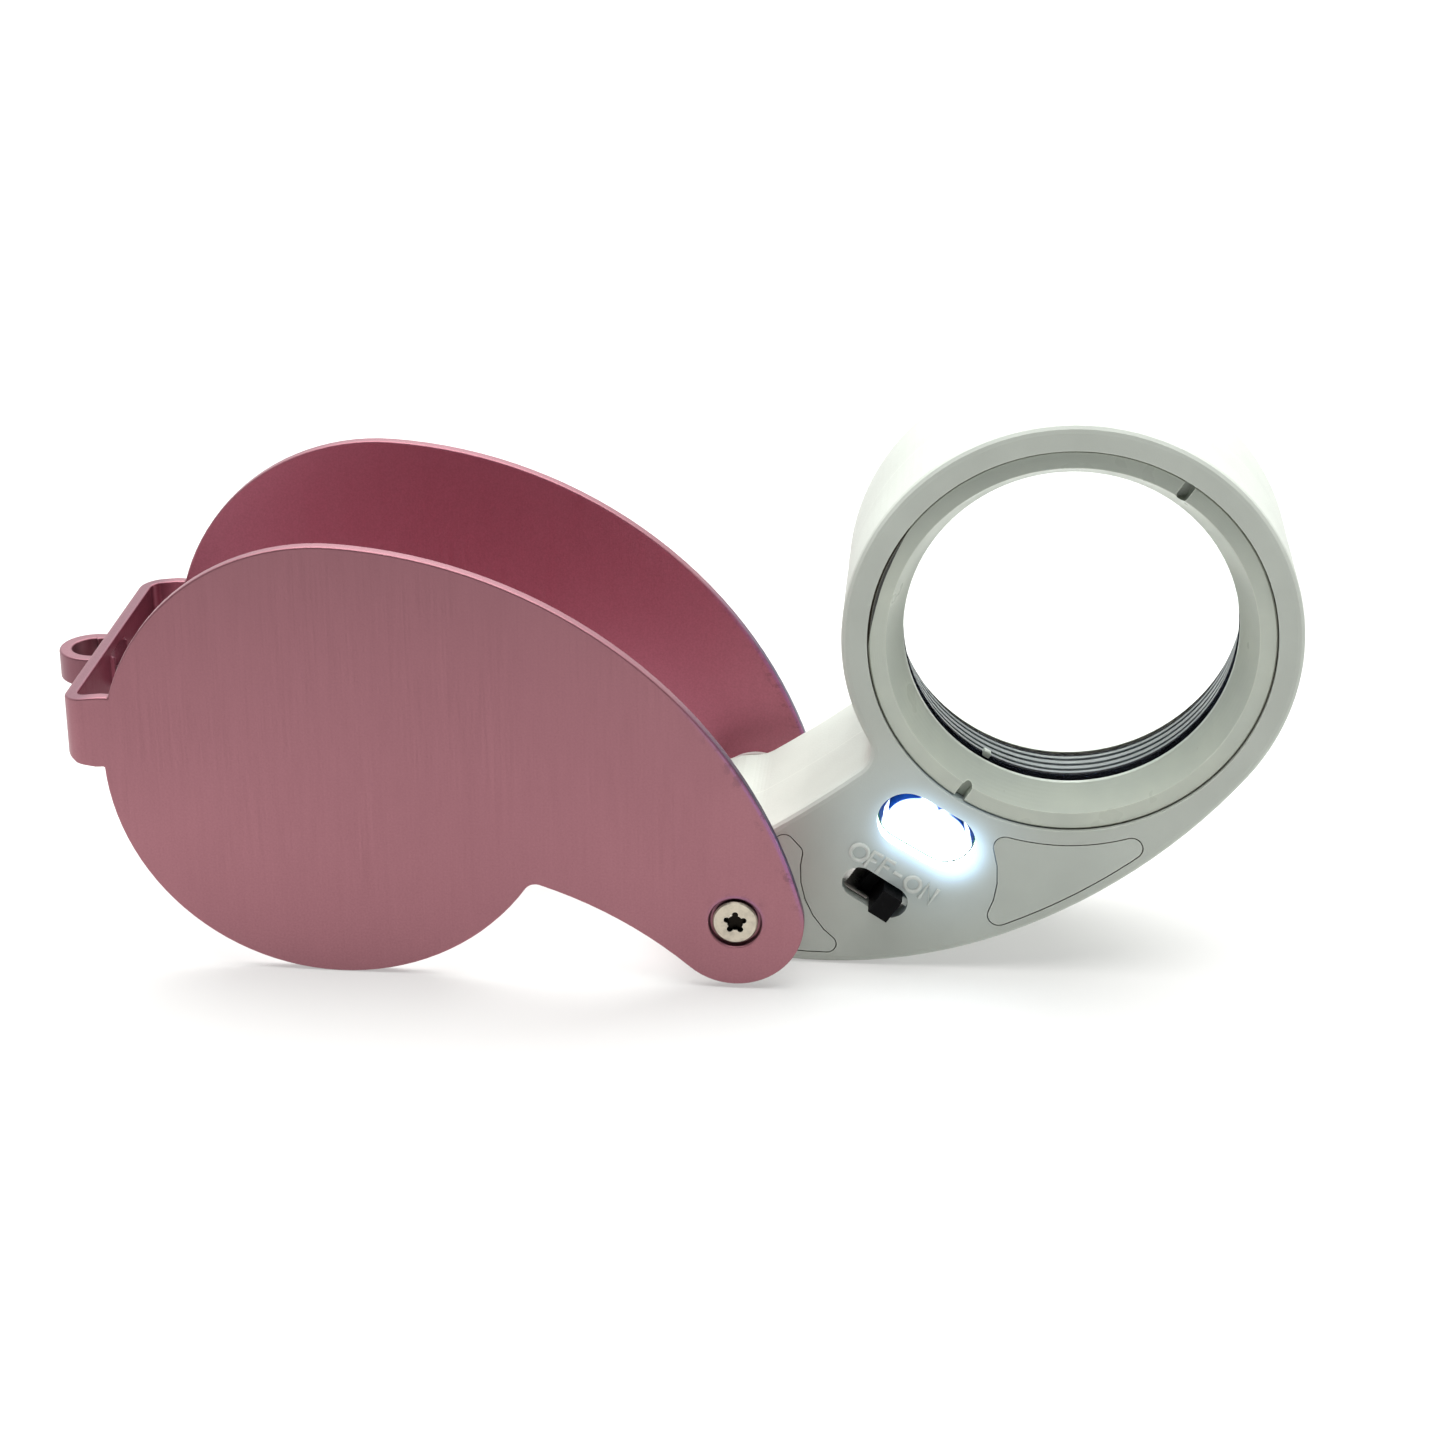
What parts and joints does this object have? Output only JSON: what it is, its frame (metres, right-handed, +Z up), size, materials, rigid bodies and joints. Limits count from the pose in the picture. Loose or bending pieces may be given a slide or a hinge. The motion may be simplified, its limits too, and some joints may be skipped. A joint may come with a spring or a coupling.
{
  "type": "folding viewing loupe",
  "caption": "Pocket viewing loupe: a round lens ring with lamps on a switch arm, folding on a screw pivot into a bent metal case with a cord eyelet.",
  "frame": {"origin": "bottom centre of the whole object, standing open on its edge as pictured", "axes": "+X along the case towards the opened lens ring, +Y through the thickness to the rear plate, +Z up; the lamps and switch face -Y"},
  "size_m": [0.0968, 0.0256, 0.0448],
  "materials": {
    "case_metal": "satin anodised-look dusty pink",
    "steel": "plain nickel-plated",
    "screw_metal": "warm nickel, slightly worn",
    "washer_plastic": "natural nylon",
    "spacer_plastic": "off-white",
    "shell_plastic": "fine-grained pale grey",
    "ring_plastic": "pale grey, satin",
    "lens_glass": "clear, polished",
    "seat_plastic": "black",
    "spacer_grey": "grey, ribbed",
    "inlay_plastic": "fine-grained pale grey",
    "reflector_plastic": "white",
    "lamp_plastic": "water-clear resin, lit",
    "board": "green board",
    "black_plastic": "black",
    "contact_brass": "plain"
  },
  "bodies": {
    "case": {"case_shell": "case_metal", "pivot_sleeve": "steel", "pivot_screws": "screw_metal", "front_friction_washer": "washer_plastic", "rear_friction_washer": "washer_plastic"},
    "loupe": {"front_pivot_spacer": "spacer_plastic", "rear_pivot_spacer": "spacer_plastic", "front_housing": "shell_plastic", "rear_housing": "shell_plastic", "front_retaining_ring": "ring_plastic", "rear_retaining_ring": "ring_plastic", "front_lens": "lens_glass", "rear_lens": "lens_glass", "front_lens_seat": "seat_plastic", "rear_lens_seat": "seat_plastic", "lens_spacer": "spacer_grey", "pivot_side_inlay": "inlay_plastic", "ring_side_inlay": "inlay_plastic", "housing_screws": "steel", "lamp_reflector": "reflector_plastic", "upper_lamp": "lamp_plastic", "lower_lamp": "lamp_plastic", "circuit_board": "board", "resistor": "black_plastic", "switch_frame": "steel", "button_cell_1": "steel", "button_cell_2": "steel", "button_cell_3": "steel", "positive_contact": "contact_brass", "negative_contact": "contact_brass", "battery_door": "shell_plastic", "door_screw": "steel"},
    "switch": {"switch_slider": "black_plastic"}
  },
  "joints": [
    {"name": "case_hinge", "type": "hinge", "parent": "case", "child": "loupe", "pos_m": [0.00652, 0, 0.00564], "axis": [0, 1, 0], "range_deg": [-117.1, 62.9]},
    {"name": "switch_slide", "type": "slide", "parent": "loupe", "child": "switch", "axis": [-0.8418, 0, 0.5398], "range_m": [0, 0.002]}
  ]
}
